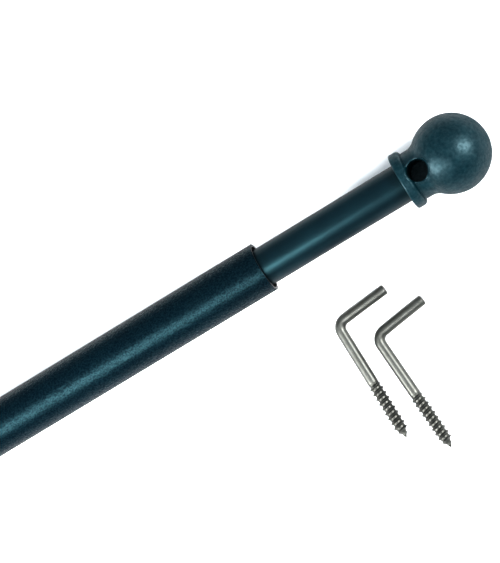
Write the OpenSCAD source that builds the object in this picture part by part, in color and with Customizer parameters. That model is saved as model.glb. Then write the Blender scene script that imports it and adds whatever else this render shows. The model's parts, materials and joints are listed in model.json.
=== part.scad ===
// Telescopic door security bar: two plastic-covered steel tubes that slide and
// twist-lock inside each other, a drilled ball finial on each end, and the two
// square-bend screw hooks the bar drops over. Millimetres.
// Origin: centre of the outer finial's cross hole, on the bar's axis.
// +X runs along the bar to the sliding end, +Z along the cross holes, upwards.

/* [Outer tube] */
// length of the outer tube
outer_tube_len = 605; // [560:5:900]
// outside diameter of the bare outer tube
outer_tube_od = 23.8; // [23.4:0.1:24.4]
// wall of the outer tube
outer_wall = 0.7; // [0.5:0.05:0.8]
// thickness of the grained covering
outer_skin = 0.6; // [0.3:0.1:1]

/* [Inner tube] */
// bare gap between the outer tube's mouth and the sliding finial, at rest
exposed_len = 77; // [74:1:120]
// outside diameter of the bare inner tube
inner_tube_od = 18.2; // [17.8:0.1:18.2]
// wall of the inner tube
inner_wall = 0.6; // [0.5:0.05:0.8]
// thickness of the smooth covering
inner_skin = 0.4; // [0.2:0.1:0.4]

/* [Ball finials] */
// ball radius
ball_r = 19; // [17:0.5:22]
// ball centre from the collar's open face
ball_from_face = 26.1; // [25:0.1:30]
// collar radius
collar_r = 14.25; // [13.5:0.05:15]
// collar length along the bar
collar_len = 5.4; // [4.5:0.1:6.5]
// neck radius
neck_r = 12.2; // [12:0.1:13]
// fillet from neck to ball
fillet_r = 7; // [4:0.5:8]
// depth of the ring socket the tube is pushed into
socket_depth = 24; // [20:0.5:26]
// cross hole diameter
hole_d = 10.5; // [9:0.5:12]
// cross hole centre from the collar's open face
hole_from_face = 9.5; // [8:0.1:12]
// how far the blind cross hole goes past the bar's axis
hole_sink = 5; // [2:0.5:6]

/* [Mouth bush and end adapter] */
// length of the bush inside the outer tube's mouth
bush_len = 20; // [12:1:30]
// how far the bush sits below the tube's rim
bush_sunk = 8; // [4:0.5:12]
// length of the adapter inside the outer tube
adapter_len = 30; // [20:1:40]

/* [Twist lock] */
// length of the lock core's plug inside the inner tube
plug_len = 22; // [15:1:30]
// length of the journal that carries the guide ring
journal_len = 10; // [8:0.5:14]
// journal diameter
journal_d = 14; // [13.6:0.1:15]
// length of the eccentric pin
pin_len = 14; // [10:0.5:18]
// eccentric pin diameter
pin_d = 10; // [9:0.1:11]
// offset of the pin from the bar's axis
pin_offset = 1.05; // [1:0.01:1.07]
// cam ring outside diameter
cam_od = 20.2; // [20:0.05:20.2]
// width of the cam ring's slit
cam_slit = 2; // [1:0.1:3]

/* [Screw hooks] */
// wire diameter
wire_d = 5.3; // [4.8:0.05:5.8]
// corner to point, along the long leg
long_leg = 63.3; // [58:0.1:75]
// corner to cut end, along the short leg
short_leg = 28.7; // [20:0.1:35]
// angle between the two legs
hook_angle = 94; // [90:0.5:95]
// centreline radius of the bend
bend_r = 5; // [4:0.1:7]
// length of the wood thread, point included
thread_len = 30.5; // [24:0.5:32]
// thread pitch
thread_pitch = 2.7; // [2.2:0.05:3.2]
// radius of the thread's crest
crest_r = 3.35; // [3.1:0.05:3.6]
// radius of the thread's root
root_r = 2.4; // [2.2:0.05:2.5]
// length of the tapered point
point_len = 5.5; // [5:0.5:9]

/* [Hidden] */
$fn = 96;
overlap = 0.5;
seat = 0.03;
slip = 0.1;
end_play = 0.3;
cut_past = 2;
chamfer = 0.5;

outer_od = outer_tube_od + 2 * outer_skin;
outer_id = outer_tube_od - 2 * outer_wall;
inner_od = inner_tube_od + 2 * inner_skin;
inner_id = inner_tube_od - 2 * inner_wall;

outer_face_x = hole_from_face;
mouth_x = outer_face_x + outer_tube_len;
inner_face_x = mouth_x + exposed_len;
inner_hole_x = inner_face_x + hole_from_face;
bush_x = mouth_x - bush_sunk - bush_len;
spigot_len = socket_depth - 2 * seat;
inner_end_x = inner_face_x + spigot_len;

collar_round = 2;
face_round = 0.9;
socket_r = inner_od / 2 + seat;
core_r = inner_id / 2 - seat;
fillet_ring_r = neck_r + fillet_r;
ball_reach = ball_r + fillet_r;
fillet_y = ball_from_face - sqrt(pow(ball_reach, 2) - pow(fillet_ring_r, 2));
tangent_r = fillet_ring_r * ball_r / ball_reach;
tangent_y = ball_from_face - (ball_from_face - fillet_y) * ball_r / ball_reach;

adapter_bore_r = inner_id / 2;
groove_r = 0.8;
groove_pitch = 8;

extension = 428.5;
lock_x = bush_x - extension;
flange_len = 2;
flange_r = 10.25;
journal_x = lock_x - flange_len - journal_len;
pin_x = journal_x - pin_len;
plug_bore_r = 4;
plug_bore_depth = 18;
pilot_r = 1.3;
pilot_depth = 12;
washer_r = 7;
washer_len = 1;
washer_x = pin_x - seat - washer_len;
screw_r = 1.25;
screw_len = 11;
screw_head_r = 2.75;
screw_head_len = 2.2;
recess_width = 0.8;
recess_span = 3;
recess_depth = 1.2;
locked_turn = 60;
pin_turn = 90 - locked_turn;
pin_y = pin_offset * cos(pin_turn);
pin_z = pin_offset * sin(pin_turn);

wire_r = wire_d / 2;
shank_len = long_leg - thread_len;
bend_tangent = bend_r / tan(hook_angle / 2);
bend_lap = 3;
bend_ease = 0.01;
end_round = 0.4;
floor_z = -ball_r;
hook_lift = asin((crest_r - wire_r) / shank_len);
hook_a_at = [628.27, -39.93];
hook_a_turn = -88.2;
hook_b_at = [641.58, -54.56];
hook_b_turn = -85.7;

thread_steps = 16;
thread_inset = 3;
thread_start_r = root_r - 0.05;
thread_run_in = 2.4;
thread_crest_taper = 4;
tip_scale = 0.14;
root_from = 0.3;
root_to = 0.7;
step_z = thread_pitch / thread_steps;
last_step = floor((thread_len + thread_inset - thread_pitch - 0.3) / step_z);

plastic_teal = [0.03, 0.15, 0.18];
plastic_dark = [0.02, 0.10, 0.13];
plastic_white = [0.85, 0.85, 0.82];
steel = [0.62, 0.63, 0.62];
screw_steel = [0.55, 0.55, 0.53];

// ---- shared shapes ----

// solid rod along +X from x = from_x
module rod(from_x, length, radius) {
    translate([from_x, 0, 0])
        rotate([0, 90, 0])
            cylinder(h = length, r = radius);
}

// tube along +X from x = from_x
module pipe(from_x, length, outside_r, inside_r) {
    difference() {
        rod(from_x, length, outside_r);
        rod(from_x - cut_past, length + 2 * cut_past, inside_r);
    }
}

// the blind cross hole, as a cutter: open at the top, floor below the axis
module cross_hole(at_x) {
    translate([at_x, 0, -hole_sink])
        cylinder(h = hole_sink + ball_r, d = hole_d);
}

module quarter_disc(radius) {
    intersection() {
        circle(r = radius);
        square(radius);
    }
}

// collar half section: radius along x, length along y, both rims rounded
module collar_section() {
    middle_len = collar_len - collar_round - face_round;
    square([collar_r - collar_round, collar_len]);
    translate([0, face_round])
        square([collar_r, middle_len]);
    square([collar_r - face_round, face_round]);
    translate([collar_r - collar_round, collar_len - collar_round])
        quarter_disc(collar_round);
    translate([collar_r - face_round, face_round])
        mirror([0, 1])
            quarter_disc(face_round);
}

// ball half section above the line where the fillet meets it
module ball_section() {
    intersection() {
        translate([0, ball_from_face])
            circle(r = ball_r);
        translate([0, tangent_y])
            square(2 * ball_r);
    }
}

// neck, run on into the collar and the ball
module neck_section() {
    translate([0, collar_len - overlap])
        square([neck_r, tangent_y - collar_len + 2 * overlap]);
}

// concave strip between the neck and the ball
module fillet_section() {
    difference() {
        translate([neck_r - overlap, fillet_y])
            square([tangent_r - neck_r + overlap, tangent_y - fillet_y]);
        translate([fillet_ring_r, fillet_y])
            circle(r = fillet_r);
    }
}

// finial with its open face at x = 0 and its ball towards +X; the tube fits in
// the ring between the neck and the core
module finial() {
    difference() {
        rotate([0, 90, 0])
            rotate_extrude() {
                collar_section();
                neck_section();
                fillet_section();
                ball_section();
            }
        pipe(-cut_past, socket_depth + cut_past, socket_r, core_r);
        cross_hole(hole_from_face);
    }
}

// ---- outer body ----

module outer_tube() {
    color(steel)
        pipe(outer_face_x + seat, outer_tube_len - seat, outer_tube_od / 2, outer_id / 2);
}

module outer_sheath() {
    color(plastic_teal)
        pipe(outer_face_x + seat, outer_tube_len - seat,
             outer_od / 2, outer_tube_od / 2 + seat);
}

module mouth_bush() {
    color(plastic_dark)
        difference() {
            pipe(bush_x, bush_len, outer_id / 2 - seat, inner_od / 2 + slip);
            translate([bush_x + bush_len - chamfer, 0, 0])
                rotate([0, 90, 0])
                    cylinder(h = 2 * chamfer, r1 = inner_od / 2 + slip,
                             r2 = inner_od / 2 + slip + 2 * chamfer);
        }
}

module end_adapter() {
    plug_r = outer_id / 2 - seat;
    color(plastic_dark)
        difference() {
            union() {
                rod(outer_face_x + seat, adapter_len, plug_r);
                rod(outer_face_x - spigot_len, spigot_len + overlap, inner_od / 2);
            }
            rod(outer_face_x - spigot_len - cut_past,
                spigot_len + adapter_len + 2 * cut_past, adapter_bore_r);
            cross_hole(0);
            for (i = [1:3])
                translate([outer_face_x + i * groove_pitch, 0, 0])
                    rotate([0, 90, 0])
                        rotate_extrude()
                            translate([plug_r, 0])
                                circle(r = groove_r);
        }
}

module outer_finial() {
    color(plastic_teal)
        translate([outer_face_x, 0, 0])
            mirror([1, 0, 0])
                finial();
}

// ---- inner body ----

module inner_tube() {
    color(steel)
        difference() {
            pipe(lock_x + seat, inner_end_x - lock_x - seat,
                 inner_tube_od / 2, inner_id / 2);
            cross_hole(inner_hole_x);
        }
}

module inner_sheath() {
    color(plastic_teal)
        difference() {
            pipe(lock_x + seat, inner_end_x - lock_x - seat,
                 inner_od / 2, inner_tube_od / 2 + seat);
            cross_hole(inner_hole_x);
        }
}

module inner_finial() {
    color(plastic_teal)
        translate([inner_face_x, 0, 0])
            finial();
}

// plug, flange, journal and eccentric pin, one moulding
module lock_core() {
    color(plastic_white)
        difference() {
            union() {
                rod(lock_x - overlap, plug_len + overlap, inner_id / 2 - seat);
                rod(lock_x - flange_len, flange_len, flange_r);
                rod(journal_x, journal_len + overlap, journal_d / 2);
                translate([0, pin_y, pin_z])
                    rod(pin_x, pin_len + overlap, pin_d / 2);
            }
            rod(lock_x + plug_len - plug_bore_depth, plug_bore_depth + cut_past, plug_bore_r);
            translate([0, pin_y, pin_z])
                rod(pin_x - cut_past, pilot_depth + cut_past, pilot_r);
        }
}

module guide_ring() {
    color(plastic_white)
        pipe(journal_x + end_play, journal_len - 2 * end_play,
             outer_id / 2 - slip, journal_d / 2 + slip);
}

// split ring, shown jammed sideways against the outer tube's bore
module cam_ring() {
    color(plastic_white)
        difference() {
            translate([0, pin_y, pin_z - pin_offset])
                rod(pin_x + end_play, pin_len - 2 * end_play, cam_od / 2);
            translate([0, pin_y, pin_z])
                rod(pin_x, pin_len, pin_d / 2 + slip);
            translate([pin_x, pin_y - cam_slit / 2, pin_z])
                cube([pin_len, cam_slit, cam_od]);
        }
}

module retaining_washer() {
    color(steel)
        translate([0, pin_y, pin_z])
            pipe(washer_x, washer_len, washer_r, screw_r + slip);
}

module retaining_screw() {
    head_x = washer_x - seat - screw_head_len;
    color(screw_steel)
        translate([head_x, pin_y, pin_z])
            difference() {
                union() {
                    rod(0, screw_head_len, screw_head_r);
                    rod(0, screw_head_len + screw_len, screw_r);
                }
                cube([2 * recess_depth, recess_width, recess_span], center = true);
                cube([2 * recess_depth, recess_span, recess_width], center = true);
            }
}

// ---- screw hooks ----

function thread_z(step) = step * step_z - thread_inset;
function to_point(z) = max(tip_scale, min(1, (thread_len - z) / point_len));
function run_in(z) = max(0, min(1, z / thread_run_in));
function crest_fade(z) = max(tip_scale, min(1, (thread_len - z) / thread_crest_taper));
function root_at(z) = (z < 0 ? thread_start_r : root_r) * to_point(z);
function crest_at(z) = root_at(z) + (crest_r - root_r) * run_in(z) * crest_fade(z);
function on_thread(step, radius, z) =
    [radius * cos(360 * step / thread_steps), radius * sin(360 * step / thread_steps), z];
function crest_point(step) = on_thread(step, crest_at(thread_z(step)), thread_z(step));
function root_point(step, share) =
    on_thread(step, root_at(thread_z(step) + share * thread_pitch),
              thread_z(step) + share * thread_pitch);

// wood thread along +Z; z = 0 is the end of the plain shank, the point is at thread_len
module wood_thread() {
    crest_count = last_step + thread_steps + 1;
    root_count = last_step + 1;
    first_a = crest_count;
    first_b = crest_count + root_count;
    base_point = first_b + root_count;
    tip_point = base_point + 1;
    points = concat(
        [for (i = [0:crest_count - 1]) crest_point(i)],
        [for (i = [0:root_count - 1]) root_point(i, root_from)],
        [for (i = [0:root_count - 1]) root_point(i, root_to)],
        [[0, 0, -thread_inset], [0, 0, thread_len]]);
    front = [for (i = [0:last_step - 1])
        each [[i, first_a + i, i + 1], [first_a + i, first_a + i + 1, i + 1]]];
    valley = [for (i = [0:last_step - 1])
        each [[first_a + i, first_b + i, first_a + i + 1],
              [first_b + i, first_b + i + 1, first_a + i + 1]]];
    back = [for (i = [0:last_step - 1])
        each [[first_b + i, i + thread_steps, first_b + i + 1],
              [i + thread_steps, i + thread_steps + 1, first_b + i + 1]]];
    base = concat(
        [for (i = [0:thread_steps - 1]) [base_point, i, i + 1]],
        [[base_point, thread_steps, first_b],
         [base_point, first_b, first_a],
         [base_point, first_a, 0]]);
    tip = concat(
        [for (i = [last_step:last_step + thread_steps - 1]) [tip_point, i + 1, i]],
        [[tip_point, first_b + last_step, last_step + thread_steps],
         [tip_point, first_a + last_step, first_b + last_step],
         [tip_point, last_step, first_a + last_step]]);
    polyhedron(points = points, faces = concat(front, valley, back, base, tip));
}

// hook flat in XY: corner at the origin, long leg along +X, short leg turned by hook_angle
module hook() {
    rod(bend_tangent, shank_len - bend_tangent, wire_r);
    translate([shank_len, 0, 0])
        rotate([0, 90, 0])
            wood_thread();
    translate([bend_tangent, bend_r, 0])
        rotate([0, 0, 90 + hook_angle - bend_lap])
            rotate_extrude(angle = 180 - hook_angle + 2 * bend_lap)
                translate([bend_r, 0])
                    circle(r = wire_r - bend_ease);
    rotate([0, 0, hook_angle])
        rotate([0, 90, 0])
            rotate_extrude()
                polygon([[0, bend_tangent],
                         [wire_r, bend_tangent],
                         [wire_r, short_leg - end_round],
                         [wire_r - end_round, short_leg],
                         [0, short_leg]]);
}

// hook lying on the floor, its thread's first crest and its short leg touching it
module lying_hook(at, turn) {
    translate([at[0], at[1], floor_z + wire_r])
        rotate([0, 0, turn])
            rotate(a = -hook_lift, v = [cos(hook_angle), sin(hook_angle), 0])
                hook();
}

module screw_hook_a() {
    color(screw_steel)
        lying_hook(hook_a_at, hook_a_turn);
}

module screw_hook_b() {
    color(screw_steel)
        lying_hook(hook_b_at, hook_b_turn);
}

outer_tube();
outer_sheath();
mouth_bush();
end_adapter();
outer_finial();
inner_tube();
inner_sheath();
inner_finial();
lock_core();
guide_ring();
cam_ring();
retaining_washer();
retaining_screw();
screw_hook_a();
screw_hook_b();
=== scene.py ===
"""Telescopic door security bar: materials, screw hooks, hole lips, floor, light and camera.

Metres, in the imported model's frame: the origin is the outer finial's cross hole, +X runs along the
bar to the sliding end and +Z points up out of the cross holes.
"""

import json
import math

import bmesh
import bpy
from mathutils import Matrix, Vector, noise
from mathutils.bvhtree import BVHTree


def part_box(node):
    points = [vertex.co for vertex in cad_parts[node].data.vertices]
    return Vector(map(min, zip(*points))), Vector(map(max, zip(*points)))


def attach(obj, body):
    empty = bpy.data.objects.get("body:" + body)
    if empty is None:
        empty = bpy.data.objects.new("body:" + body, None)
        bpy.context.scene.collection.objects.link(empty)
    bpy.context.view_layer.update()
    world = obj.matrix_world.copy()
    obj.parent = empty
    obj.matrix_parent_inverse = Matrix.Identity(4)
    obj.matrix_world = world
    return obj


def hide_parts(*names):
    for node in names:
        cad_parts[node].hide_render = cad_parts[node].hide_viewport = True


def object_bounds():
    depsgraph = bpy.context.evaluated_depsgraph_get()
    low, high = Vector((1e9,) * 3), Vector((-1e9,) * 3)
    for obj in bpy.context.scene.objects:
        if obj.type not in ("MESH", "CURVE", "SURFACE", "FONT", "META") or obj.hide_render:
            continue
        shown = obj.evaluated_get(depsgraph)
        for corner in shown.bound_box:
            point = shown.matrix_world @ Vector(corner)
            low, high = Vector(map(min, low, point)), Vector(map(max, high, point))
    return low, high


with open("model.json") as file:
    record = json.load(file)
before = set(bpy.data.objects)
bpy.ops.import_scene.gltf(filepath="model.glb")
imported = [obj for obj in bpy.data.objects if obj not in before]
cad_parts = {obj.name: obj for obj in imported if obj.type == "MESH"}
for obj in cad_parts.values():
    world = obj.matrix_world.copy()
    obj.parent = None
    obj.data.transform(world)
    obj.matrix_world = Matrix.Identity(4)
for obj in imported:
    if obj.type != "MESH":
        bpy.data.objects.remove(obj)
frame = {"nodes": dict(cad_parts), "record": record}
cad_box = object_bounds()

MM = 0.001

MOUNTS = {mount["name"]: mount for mount in frame["record"]["mounts"]}
FLOOR_Z = cad_box[0].z


# ---------------------------------------------------------------- node helpers

def new_material(name):
    material = bpy.data.materials.new(name)
    material.use_nodes = True
    tree = material.node_tree
    return material, tree, tree.nodes["Principled BSDF"]


def add(tree, kind, inputs=None, **settings):
    node = tree.nodes.new(kind)
    for key, value in settings.items():
        setattr(node, key, value)
    for key, value in (inputs or {}).items():
        if isinstance(value, bpy.types.NodeSocket):
            tree.links.new(value, node.inputs[key])
        else:
            node.inputs[key].default_value = value
    return node


def object_point(tree, scale=(1, 1, 1)):
    """Object coordinates in metres, stretched by scale."""
    where = add(tree, "ShaderNodeTexCoord")
    placed = add(tree, "ShaderNodeMapping", {"Vector": where.outputs["Object"], "Scale": scale})
    return placed.outputs["Vector"]


def noise_at(tree, point, cell, detail=3.0, rough=0.5):
    """Noise whose features are about one cell across, in metres."""
    node = add(tree, "ShaderNodeTexNoise",
               {"Vector": point, "Scale": 1 / cell, "Detail": detail, "Roughness": rough})
    return node.outputs["Fac"]


def mapped(tree, value, low, high, from_low=0.0, from_high=1.0):
    """The value's range stretched to low..high, and held inside it."""
    node = add(tree, "ShaderNodeMapRange",
               {"Value": value, "From Min": from_low, "From Max": from_high,
                "To Min": low, "To Max": high})
    return node.outputs["Result"]


def colour_between(tree, value, dark, light):
    node = add(tree, "ShaderNodeMix", data_type="RGBA")
    tree.links.new(value, node.inputs["Factor"])
    node.inputs["A"].default_value = (*dark, 1)
    node.inputs["B"].default_value = (*light, 1)
    return node.outputs["Result"]


def bump(tree, height, depth, strength=1.0, below=None):
    node = add(tree, "ShaderNodeBump",
               {"Height": height, "Distance": depth, "Strength": strength})
    if below is not None:
        tree.links.new(below, node.inputs["Normal"])
    return node.outputs["Normal"]


def plug(tree, shader, **sockets):
    """Links a node output to each named socket of the shader, or sets a constant there."""
    for key, value in sockets.items():
        name = key.replace("_", " ")
        if isinstance(value, bpy.types.NodeSocket):
            tree.links.new(value, shader.inputs[name])
        else:
            shader.inputs[name].default_value = value


# ---------------------------------------------------------------- materials

TEAL_DEEP = (0.0001, 0.0028, 0.0058)
TEAL_MID = (0.0002, 0.0062, 0.0105)
TEAL_SHEEN = (0.46, 0.92, 1.0, 1)
DUSTY_DEEP = (0.0001, 0.0072, 0.0115)
DUSTY_MID = (0.0004, 0.0225, 0.0290)
DUSTY_SHEEN = (0.66, 0.93, 1.0, 1)


def teal_shader(name, sheen=TEAL_SHEEN):
    material, tree, shader = new_material(name)
    shader.inputs["Specular Tint"].default_value = sheen
    return material, tree, shader


def faded_to_outline(tree, level):
    """Lets a sheen die away where the surface turns from the viewer, as on dusty plastic."""
    facing = add(tree, "ShaderNodeLayerWeight", {"Blend": 0.5}).outputs["Facing"]
    fade = mapped(tree, facing, 1.0, 0.10, 0.22, 0.75)
    return add(tree, "ShaderNodeMath", {0: level, 1: fade}, operation="MULTIPLY").outputs["Value"]


def grained_plastic():
    """Pressed orange-peel grain on the outer covering."""
    material, tree, shader = teal_shader("grained_covering")
    point = object_point(tree)
    pebbles = add(tree, "ShaderNodeTexVoronoi", {"Vector": point, "Scale": 1 / (1.2 * MM)},
                  feature="SMOOTH_F1")
    fine = noise_at(tree, point, 0.7 * MM, 3, 0.6)
    broad = noise_at(tree, point, 16 * MM, 3)
    speckle = noise_at(tree, point, 0.75 * MM, 1, 0.5)
    sheen = mapped(tree, speckle, 0.10, 0.27, 0.36, 0.64)
    normal = bump(tree, pebbles.outputs["Distance"], 0.14 * MM, 0.9)
    normal = bump(tree, fine, 0.14 * MM, 0.9, normal)
    plug(tree, shader,
         Base_Color=colour_between(tree, broad, TEAL_DEEP, TEAL_MID),
         Roughness=mapped(tree, broad, 0.31, 0.37),
         Specular_IOR_Level=faded_to_outline(tree, sheen),
         Normal=normal)
    return material


def satin_plastic():
    """Smooth satin covering of the inner tube, with faint draw lines along it."""
    material, tree, shader = teal_shader("satin_covering")
    lines = noise_at(tree, object_point(tree, (0.02, 1, 1)), 0.8 * MM, 3)
    broad = noise_at(tree, object_point(tree), 12 * MM, 2)
    fine = noise_at(tree, object_point(tree), 0.6 * MM, 2)
    normal = bump(tree, lines, 0.02 * MM, 0.5)
    normal = bump(tree, fine, 0.03 * MM, 0.5, normal)
    plug(tree, shader,
         Base_Color=colour_between(tree, broad, TEAL_DEEP, TEAL_MID),
         Roughness=mapped(tree, lines, 0.34, 0.46),
         Specular_IOR_Level=faded_to_outline(tree, mapped(tree, broad, 0.34, 0.44)),
         Normal=normal)
    return material


def moulded_plastic():
    """Moulded satin of the finials, cloudy and slightly pitted from the mould's surface."""
    material, tree, shader = teal_shader("moulded_finial", DUSTY_SHEEN)
    point = object_point(tree)
    cloud = noise_at(tree, point, 5 * MM, 4, 0.65)
    skin = noise_at(tree, point, 1.6 * MM, 4, 0.6)
    fine = noise_at(tree, point, 0.6 * MM, 2)
    normal = bump(tree, skin, 0.16 * MM, 0.7)
    normal = bump(tree, fine, 0.04 * MM, 0.5, normal)
    plug(tree, shader,
         Base_Color=colour_between(tree, cloud, DUSTY_DEEP, DUSTY_MID),
         Roughness=mapped(tree, cloud, 0.34, 0.48, 0.3, 0.7),
         Specular_IOR_Level=faded_to_outline(tree, mapped(tree, skin, 0.24, 0.58, 0.3, 0.7)),
         Normal=normal)
    return material


def black_nylon():
    material, tree, shader = new_material("black_nylon")
    fine = noise_at(tree, object_point(tree), 0.6 * MM, 3)
    plug(tree, shader,
         Base_Color=colour_between(tree, fine, (0.006, 0.006, 0.007), (0.014, 0.014, 0.015)),
         Roughness=mapped(tree, fine, 0.5, 0.65),
         Normal=bump(tree, fine, 0.02 * MM, 0.5))
    return material


def white_acetal():
    material, tree, shader = new_material("white_acetal")
    broad = noise_at(tree, object_point(tree), 6 * MM, 3)
    fine = noise_at(tree, object_point(tree), 0.5 * MM, 3)
    plug(tree, shader,
         Base_Color=colour_between(tree, broad, (0.60, 0.58, 0.52), (0.74, 0.72, 0.66)),
         Roughness=mapped(tree, fine, 0.35, 0.5),
         Normal=bump(tree, fine, 0.02 * MM, 0.5))
    return material


def steel(name, dark, light, cell, stretch, rough):
    """Worked steel: stretched scratches over a cloudy tarnish."""
    material, tree, shader = new_material(name)
    scratches = noise_at(tree, object_point(tree, stretch), cell, 4, 0.6)
    tarnish = noise_at(tree, object_point(tree), 4 * MM, 4, 0.6)
    plug(tree, shader,
         Base_Color=colour_between(tree, tarnish, dark, light),
         Roughness=mapped(tree, scratches, *rough),
         Normal=bump(tree, scratches, 0.01 * MM, 0.5))
    shader.inputs["Metallic"].default_value = 1.0
    return material


def tube_steel():
    return steel("tube_steel_drawn", (0.09, 0.09, 0.095), (0.20, 0.20, 0.20),
                 0.4 * MM, (0.03, 1, 1), (0.40, 0.58))


def screw_steel():
    return steel("screw_steel_zinc", (0.50, 0.50, 0.46), (0.70, 0.70, 0.66),
                 0.5 * MM, (1, 1, 1), (0.25, 0.42))


def hook_steel():
    """Drawn wire: fine scratches over patchy tarnish, darkened where the vertex tone mask is low:
    painted shade in the thread's roots, darker towards the cut end.
    """
    material, tree, shader = new_material("hook_steel_drawn")
    point = object_point(tree)
    scratches = noise_at(tree, object_point(tree, (1, 0.3, 1)), 0.35 * MM, 4, 0.6)
    tarnish = noise_at(tree, point, 3 * MM, 5, 0.65)
    pits = noise_at(tree, point, 0.9 * MM, 4, 0.6)
    shade_and_dark_end = add(tree, "ShaderNodeAttribute", attribute_name="shade_and_dark_end").outputs["Fac"]
    steel_tone = colour_between(tree, tarnish, (0.074, 0.074, 0.065), (0.130, 0.132, 0.126))
    # mixes the steel towards a near-black tone where the mask is low: painted shade in the thread's
    # roots, darker towards the cut end
    darkened_tone = add(tree, "ShaderNodeMix", {"Factor": shade_and_dark_end}, data_type="RGBA")
    darkened_tone.inputs["A"].default_value = (0.030, 0.031, 0.025, 1)
    tree.links.new(steel_tone, darkened_tone.inputs["B"])
    normal = bump(tree, scratches, 0.02 * MM, 0.6)
    normal = bump(tree, pits, 0.02 * MM, 0.5, normal)
    plug(tree, shader,
         Base_Color=darkened_tone.outputs["Result"],
         Roughness=mapped(tree, pits, 0.38, 0.54),
         Normal=normal)
    shader.inputs["Metallic"].default_value = 1.0
    return material


def floor_white():
    material, tree, shader = new_material("studio_floor")
    broad = noise_at(tree, object_point(tree), 0.4, 2)
    plug(tree, shader,
         Base_Color=colour_between(tree, broad, (0.79, 0.79, 0.79), (0.81, 0.81, 0.81)),
         Roughness=0.9)
    shader.inputs["Specular IOR Level"].default_value = 0.1
    return material


# ---------------------------------------------------------------- mesh helpers

def mesh_piece(name, bm, material, body, nodes):
    """Makes the bmesh a piece that rides on body and stands for the CAD nodes, if any."""
    bmesh.ops.recalc_face_normals(bm, faces=bm.faces)
    mesh = bpy.data.meshes.new(name)
    bm.to_mesh(mesh)
    bm.free()
    for polygon in mesh.polygons:
        polygon.use_smooth = True
    mesh.materials.append(material)
    piece = bpy.data.objects.new(name, mesh)
    bpy.context.scene.collection.objects.link(piece)
    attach(piece, body)
    if nodes:
        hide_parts(*nodes)
    return piece


def bridge(bm, ring, following):
    """Quads between two rings of the same length."""
    count = len(ring)
    for i in range(count):
        j = (i + 1) % count
        bm.faces.new((ring[i], ring[j], following[j], following[i]))


# ---------------------------------------------------------------- screw hooks

# the same sizes as the CAD hook
WIRE_R = MOUNTS["hook_a_leg"]["dims"]["r_mm"] * MM
LONG_LEG = 63.3 * MM
SHORT_LEG = 28.7 * MM
HOOK_ANGLE = math.radians(94)
SHORT_DIR = Vector((math.cos(HOOK_ANGLE), math.sin(HOOK_ANGLE), 0))
BEND_R = 5 * MM
THREAD_LEN = 30.5 * MM
SHANK = LONG_LEG - THREAD_LEN
PITCH = 2.7 * MM
CREST_R = 3.35 * MM
ROOT_R = 2.4 * MM

# how the thread starts and ends, and the shape of its ridge
RUN_IN = 2.4 * MM
ROOT_RUN_IN = 0.8 * MM
CREST_FADE = 4 * MM
POINT_LEN = 5.5 * MM
POINT_R = 0.2 * MM
RIDGE_HALF_WIDTH = 0.30
ROUNDING = 0.85

# the domed cut end: millimetres back from the cut, share of the wire's radius
CUT_END = ((0.01, 0.25), (0.03, 0.5), (0.07, 0.7), (0.14, 0.82), (0.24, 0.90),
           (0.36, 0.95), (0.52, 0.985), (0.75, 1.0))
CUT_END_LEN = 1 * MM

# tone mask on the wire, 0 is the darkest painted tone, 1 is bare wire: painted shade in the thread's
# roots, darker towards the cut end
CUT_END_DARK = 0.25
ROOT_SHADE = 0.75

AROUND = 48
SHORT_LEG_STEPS = 12
BEND_STEPS = 20
SHANK_STEPS = 16
THREAD_STEPS = 400
THREAD_END = 0.995


def hook_path():
    """Points and directions along the wire from the cut end to the start of the thread."""
    inset = BEND_R / math.tan(HOOK_ANGLE / 2)
    straight = SHORT_LEG - CUT_END_LEN
    frames = []
    for i in range(SHORT_LEG_STEPS + 1):
        reach = straight - (straight - inset) * i / SHORT_LEG_STEPS
        frames.append((SHORT_DIR * reach, SHORT_DIR * -1))
    centre = Vector((inset, BEND_R, 0))
    start = math.pi / 2 + HOOK_ANGLE
    sweep = math.pi - HOOK_ANGLE
    for i in range(1, BEND_STEPS + 1):
        angle = start + sweep * i / BEND_STEPS
        out = Vector((math.cos(angle), math.sin(angle), 0))
        frames.append((centre + out * BEND_R, Vector((-out.y, out.x, 0))))
    for i in range(1, SHANK_STEPS + 1):
        reach = inset + (SHANK - inset) * i / SHANK_STEPS
        frames.append((Vector((reach, 0, 0)), Vector((1, 0, 0))))
    return frames


def wire_ring(bm, centre, along, radius, shade_and_dark_end=1.0):
    up = Vector((0, 0, 1))
    shade = bm.verts.layers.float["shade_and_dark_end"]
    across = up.cross(along)
    ring = []
    for i in range(AROUND):
        turn = 2 * math.pi * i / AROUND
        vert = bm.verts.new(centre + (across * math.cos(turn) + up * math.sin(turn)) * radius)
        vert[shade] = shade_and_dark_end
        ring.append(vert)
    return ring


def clamp01(value):
    return max(0.0, min(1.0, value))


def thread_radius(along, turn):
    """Radius of the threaded end: along is metres past the shank, turn the angle about the axis."""
    phase = (along / PITCH - turn / (2 * math.pi)) % 1.0
    ridge = clamp01(1 - abs(phase - 0.5) / RIDGE_HALF_WIDTH) ** ROUNDING
    to_point = clamp01((THREAD_LEN - along) / POINT_LEN) ** ROUNDING
    fade = clamp01((THREAD_LEN - along) / CREST_FADE)
    run_in = clamp01(along / RUN_IN)
    root = WIRE_R + (ROOT_R - WIRE_R) * clamp01(along / ROOT_RUN_IN)
    return max(POINT_R, root * to_point) + (CREST_R - ROOT_R) * ridge * fade * run_in


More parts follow.
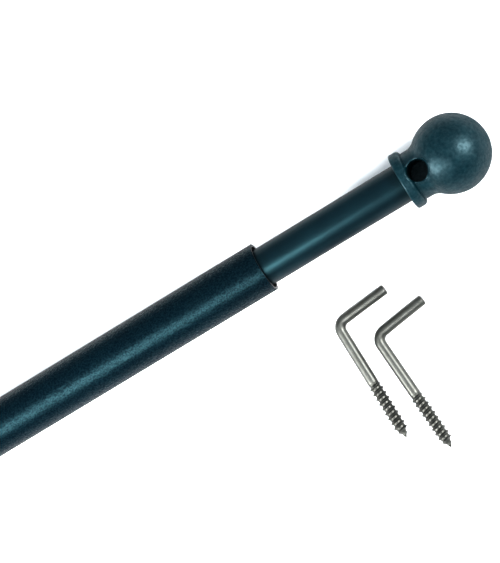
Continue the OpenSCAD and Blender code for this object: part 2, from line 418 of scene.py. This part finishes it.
def thread_ring(bm, along):
    """One ring of the thread, with painted shade in the root, darker than on the crest."""
    forward = Vector((1, 0, 0))
    up = Vector((0, 0, 1))
    across = up.cross(forward)
    shade = bm.verts.layers.float["shade_and_dark_end"]
    ring = []
    for i in range(AROUND):
        turn = 2 * math.pi * i / AROUND
        radius = thread_radius(along, turn)
        out = (across * math.cos(turn) + up * math.sin(turn)) * radius
        vert = bm.verts.new(forward * (SHANK + along) + out)
        # painted shade: the root of the thread is darker than its crest
        height = clamp01((radius - ROOT_R) / (CREST_R - ROOT_R))
        vert[shade] = ROOT_SHADE + (1 - ROOT_SHADE) * height
        ring.append(vert)
    return ring


def hook_bmesh():
    """One hook, corner at the origin, long leg along +X: cut end, bend, shank, thread, point."""
    bm = bmesh.new()
    bm.verts.layers.float.new("shade_and_dark_end")
    rings = []
    for reach, share in CUT_END:
        # the wire is painted darker towards the cut end
        rings.append(wire_ring(bm, SHORT_DIR * (SHORT_LEG - reach * MM), SHORT_DIR * -1,
                               WIRE_R * share, clamp01(CUT_END_DARK + reach)))
    for point, along in hook_path():
        rings.append(wire_ring(bm, point, along, WIRE_R))
    for i in range(1, THREAD_STEPS + 1):
        rings.append(thread_ring(bm, THREAD_LEN * THREAD_END * i / THREAD_STEPS))
    for ring, following in zip(rings, rings[1:]):
        bridge(bm, ring, following)
    bm.faces.new(list(reversed(rings[0])))
    tip = bm.verts.new(Vector((LONG_LEG, 0, 0)))
    for i in range(AROUND):
        bm.faces.new((rings[-1][i], rings[-1][(i + 1) % AROUND], tip))
    return bm


def place_hook(bm, body):
    """Turns the hook so that its legs lie along its two mounts in the record."""
    thread = MOUNTS[f"{body}_thread"]
    forward = Vector(thread["axis"]).normalized()
    leg = Vector(MOUNTS[f"{body}_leg"]["axis"])
    up = forward.cross(leg).normalized()
    corner = Vector(thread["pos_m"]) - forward * SHANK
    turn = Matrix((forward, up.cross(forward), up)).transposed().to_4x4()
    bmesh.ops.transform(bm, matrix=Matrix.Translation(corner) @ turn, verts=bm.verts)


def make_hooks(material):
    for body in ("hook_a", "hook_b"):
        bm = hook_bmesh()
        place_hook(bm, body)
        piece = mesh_piece(f"worked_{body}", bm, material, body, [f"screw_{body}"])


# ---------------------------------------------------------------- moulded lip round a cross hole

LIP_STEPS = 180
HOLE_R = MOUNTS["inner_finial_hole"]["dims"]["r_mm"] * MM
# the lip's section: millimetres out from the bore, millimetres above the finial's own surface
LIP_SECTION = ((1.10, -0.35), (1.00, 0.02), (0.88, 0.20), (0.70, 0.30), (0.54, 0.27), (0.36, 0.18),
               (0.16, 0.05), (0.00, -0.08), (-0.03, -0.30), (0.20, -0.80), (0.90, -0.80))
SMOOTHING = 3
CLEAR_OF_BORE = 0.08 * MM
ABOVE_FINIAL = 50 * MM
RAGGEDNESS = 0.8
RAGS_ROUND = 4.5


def surface_tree(node):
    """The CAD node's skin, ready for ray casts."""
    shape = bmesh.new()
    shape.from_mesh(node.data)
    bmesh.ops.transform(shape, matrix=node.matrix_world, verts=shape.verts)
    tree = BVHTree.FromBMesh(shape)
    shape.free()
    return tree


def surface_heights(tree, centre_x, radius):
    """Height of the top surface all round a vertical circle, smoothed over SMOOTHING steps."""
    raw = []
    for i in range(LIP_STEPS):
        turn = 2 * math.pi * i / LIP_STEPS
        start = Vector((centre_x + radius * math.cos(turn), radius * math.sin(turn),
                        ABOVE_FINIAL))
        raw.append(tree.ray_cast(start, Vector((0, 0, -1)))[0].z)
    near = range(-SMOOTHING, SMOOTHING + 1)
    return [sum(raw[(i + k) % LIP_STEPS] for k in near) / len(near) for i in range(LIP_STEPS)]


def make_lip(name, body, node, centre_x, material):
    """Raised, slightly ragged flash where the hole breaks out of the neck, sloping into the bore."""
    tree = surface_tree(node)
    bm = bmesh.new()
    rings = []
    for out, above in LIP_SECTION:
        radius = HOLE_R + out * MM
        heights = surface_heights(tree, centre_x, max(radius, HOLE_R + CLEAR_OF_BORE))
        ring = []
        for i, height in enumerate(heights):
            turn = 2 * math.pi * i / LIP_STEPS
            spot = Vector((math.cos(turn), math.sin(turn), 0.3)) * RAGS_ROUND
            ragged = 1 + RAGGEDNESS * noise.noise(spot)
            rise = above * MM * (ragged if above > 0 else 1)
            ring.append(bm.verts.new((centre_x + radius * math.cos(turn),
                                      radius * math.sin(turn), height + rise)))
        rings.append(ring)
    for ring, following in zip(rings, rings[1:] + rings[:1]):
        bridge(bm, ring, following)
    piece = mesh_piece(name, bm, material, body, [])


def make_lips(material):
    nodes = frame["nodes"]
    make_lip("outer_hole_lip", "outer", nodes["outer_finial"], 0, material)
    centre_x = MOUNTS["inner_finial_hole"]["pos_m"][0]
    make_lip("inner_hole_lip", "inner", nodes["inner_finial"], centre_x, material)


# ---------------------------------------------------------------- carried-over CAD nodes

def dress_nodes(materials):
    """Gives every CAD node that still shows its worked material."""
    slots = {part["node"]: part["material_slot"] for part in frame["record"]["subparts"]}
    for name, node in frame["nodes"].items():
        for index in range(len(node.material_slots)):
            node.material_slots[index].material = materials[slots[name]]


# ---------------------------------------------------------------- floor, light, camera

FLOOR_HALF = 6
FLOOR_GAP = 0.05 * MM


def make_floor(material):
    """A plain square of floor just under the lowest point of the object."""
    bm = bmesh.new()
    bmesh.ops.create_grid(bm, x_segments=8, y_segments=8, size=FLOOR_HALF)
    mesh = bpy.data.meshes.new("studio_floor")
    bm.to_mesh(mesh)
    bm.free()
    mesh.materials.append(material)
    floor = bpy.data.objects.new("studio_floor", mesh)
    floor.location = (0.4, 0, FLOOR_Z - FLOOR_GAP)
    bpy.context.scene.collection.objects.link(floor)


def area_light(name, place, aim, width, height, power, spread=180):
    """A rectangular softbox at place facing aim: metres, watts and degrees."""
    data = bpy.data.lights.new(name, "AREA")
    data.shape = "RECTANGLE"
    data.size = width
    data.size_y = height
    data.energy = power
    data.spread = math.radians(spread)
    light = bpy.data.objects.new(name, data)
    light.location = place
    light.rotation_euler = (Vector(aim) - Vector(place)).to_track_quat("-Z", "Y").to_euler()
    bpy.context.scene.collection.objects.link(light)


def make_lights():
    """Two keys that meet on the sliding end's ball, and a narrow softbox along the tubes."""
    finial_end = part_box("inner_finial")[1]
    ball = (finial_end.x - finial_end.z, 0, 0)
    area_light("key_far_end", (1.68, -0.12, 0.90), ball, 0.44, 0.44, 38)
    area_light("key_near_end", (-0.42, -0.30, 0.66), ball, 0.38, 0.38, 33)
    area_light("side_softbox", (0.42, -0.175, 0.35), (0.49, 0, 0), 0.3, 0.16, 0.56, 50)


def make_world():
    """A pale studio: grey walls under a light ceiling."""
    world = bpy.data.worlds.new("studio")
    world.use_nodes = True
    tree = world.node_tree
    background = tree.nodes["Background"]
    where = add(tree, "ShaderNodeTexCoord")
    parts = add(tree, "ShaderNodeSeparateXYZ", {"Vector": where.outputs["Generated"]})
    tree.links.new(mapped(tree, parts.outputs["Z"], 0.50, 1.65),
                   background.inputs["Strength"])
    background.inputs["Color"].default_value = (0.88, 0.95, 1.0, 1)
    bpy.context.scene.world = world


def make_camera():
    """Looks down on the sliding end, as the bar is photographed."""
    azimuth, elevation, roll = math.radians(56.63), math.radians(77.80), math.radians(59.47)
    distance = 969.4 * MM
    target = Vector((605.1 * MM, -2.5 * MM, 0))
    away = Vector((math.cos(elevation) * math.sin(azimuth),
                   -math.cos(elevation) * math.cos(azimuth),
                   math.sin(elevation)))
    picture_up = Vector((math.cos(roll), math.sin(roll), 0))
    right = (-away).cross(picture_up).normalized()
    up = right.cross(-away)
    data = bpy.data.cameras.new("camera")
    data.sensor_fit = "HORIZONTAL"
    data.sensor_width = 36
    data.lens = 147.16
    data.clip_start = 0.01
    camera = bpy.data.objects.new("camera", data)
    turn = Matrix((right, up, away)).transposed()
    camera.matrix_world = Matrix.Translation(target + away * distance) @ turn.to_4x4()
    bpy.context.scene.collection.objects.link(camera)
    bpy.context.scene.camera = camera


# ---------------------------------------------------------------- build

materials = {
    "grained_plastic": grained_plastic(),
    "satin_plastic": satin_plastic(),
    "moulded_plastic": moulded_plastic(),
    "bush_plastic": black_nylon(),
    "lock_plastic": white_acetal(),
    "tube_steel": tube_steel(),
    "screw_steel": screw_steel(),
    "hook_steel": hook_steel(),
}
make_camera()
dress_nodes(materials)
make_hooks(materials["hook_steel"])
make_lips(materials["moulded_plastic"])
make_floor(floor_white())
make_lights()
make_world()
bpy.context.scene.view_settings.view_transform = "Standard"
bpy.context.scene.view_settings.gamma = 0.70
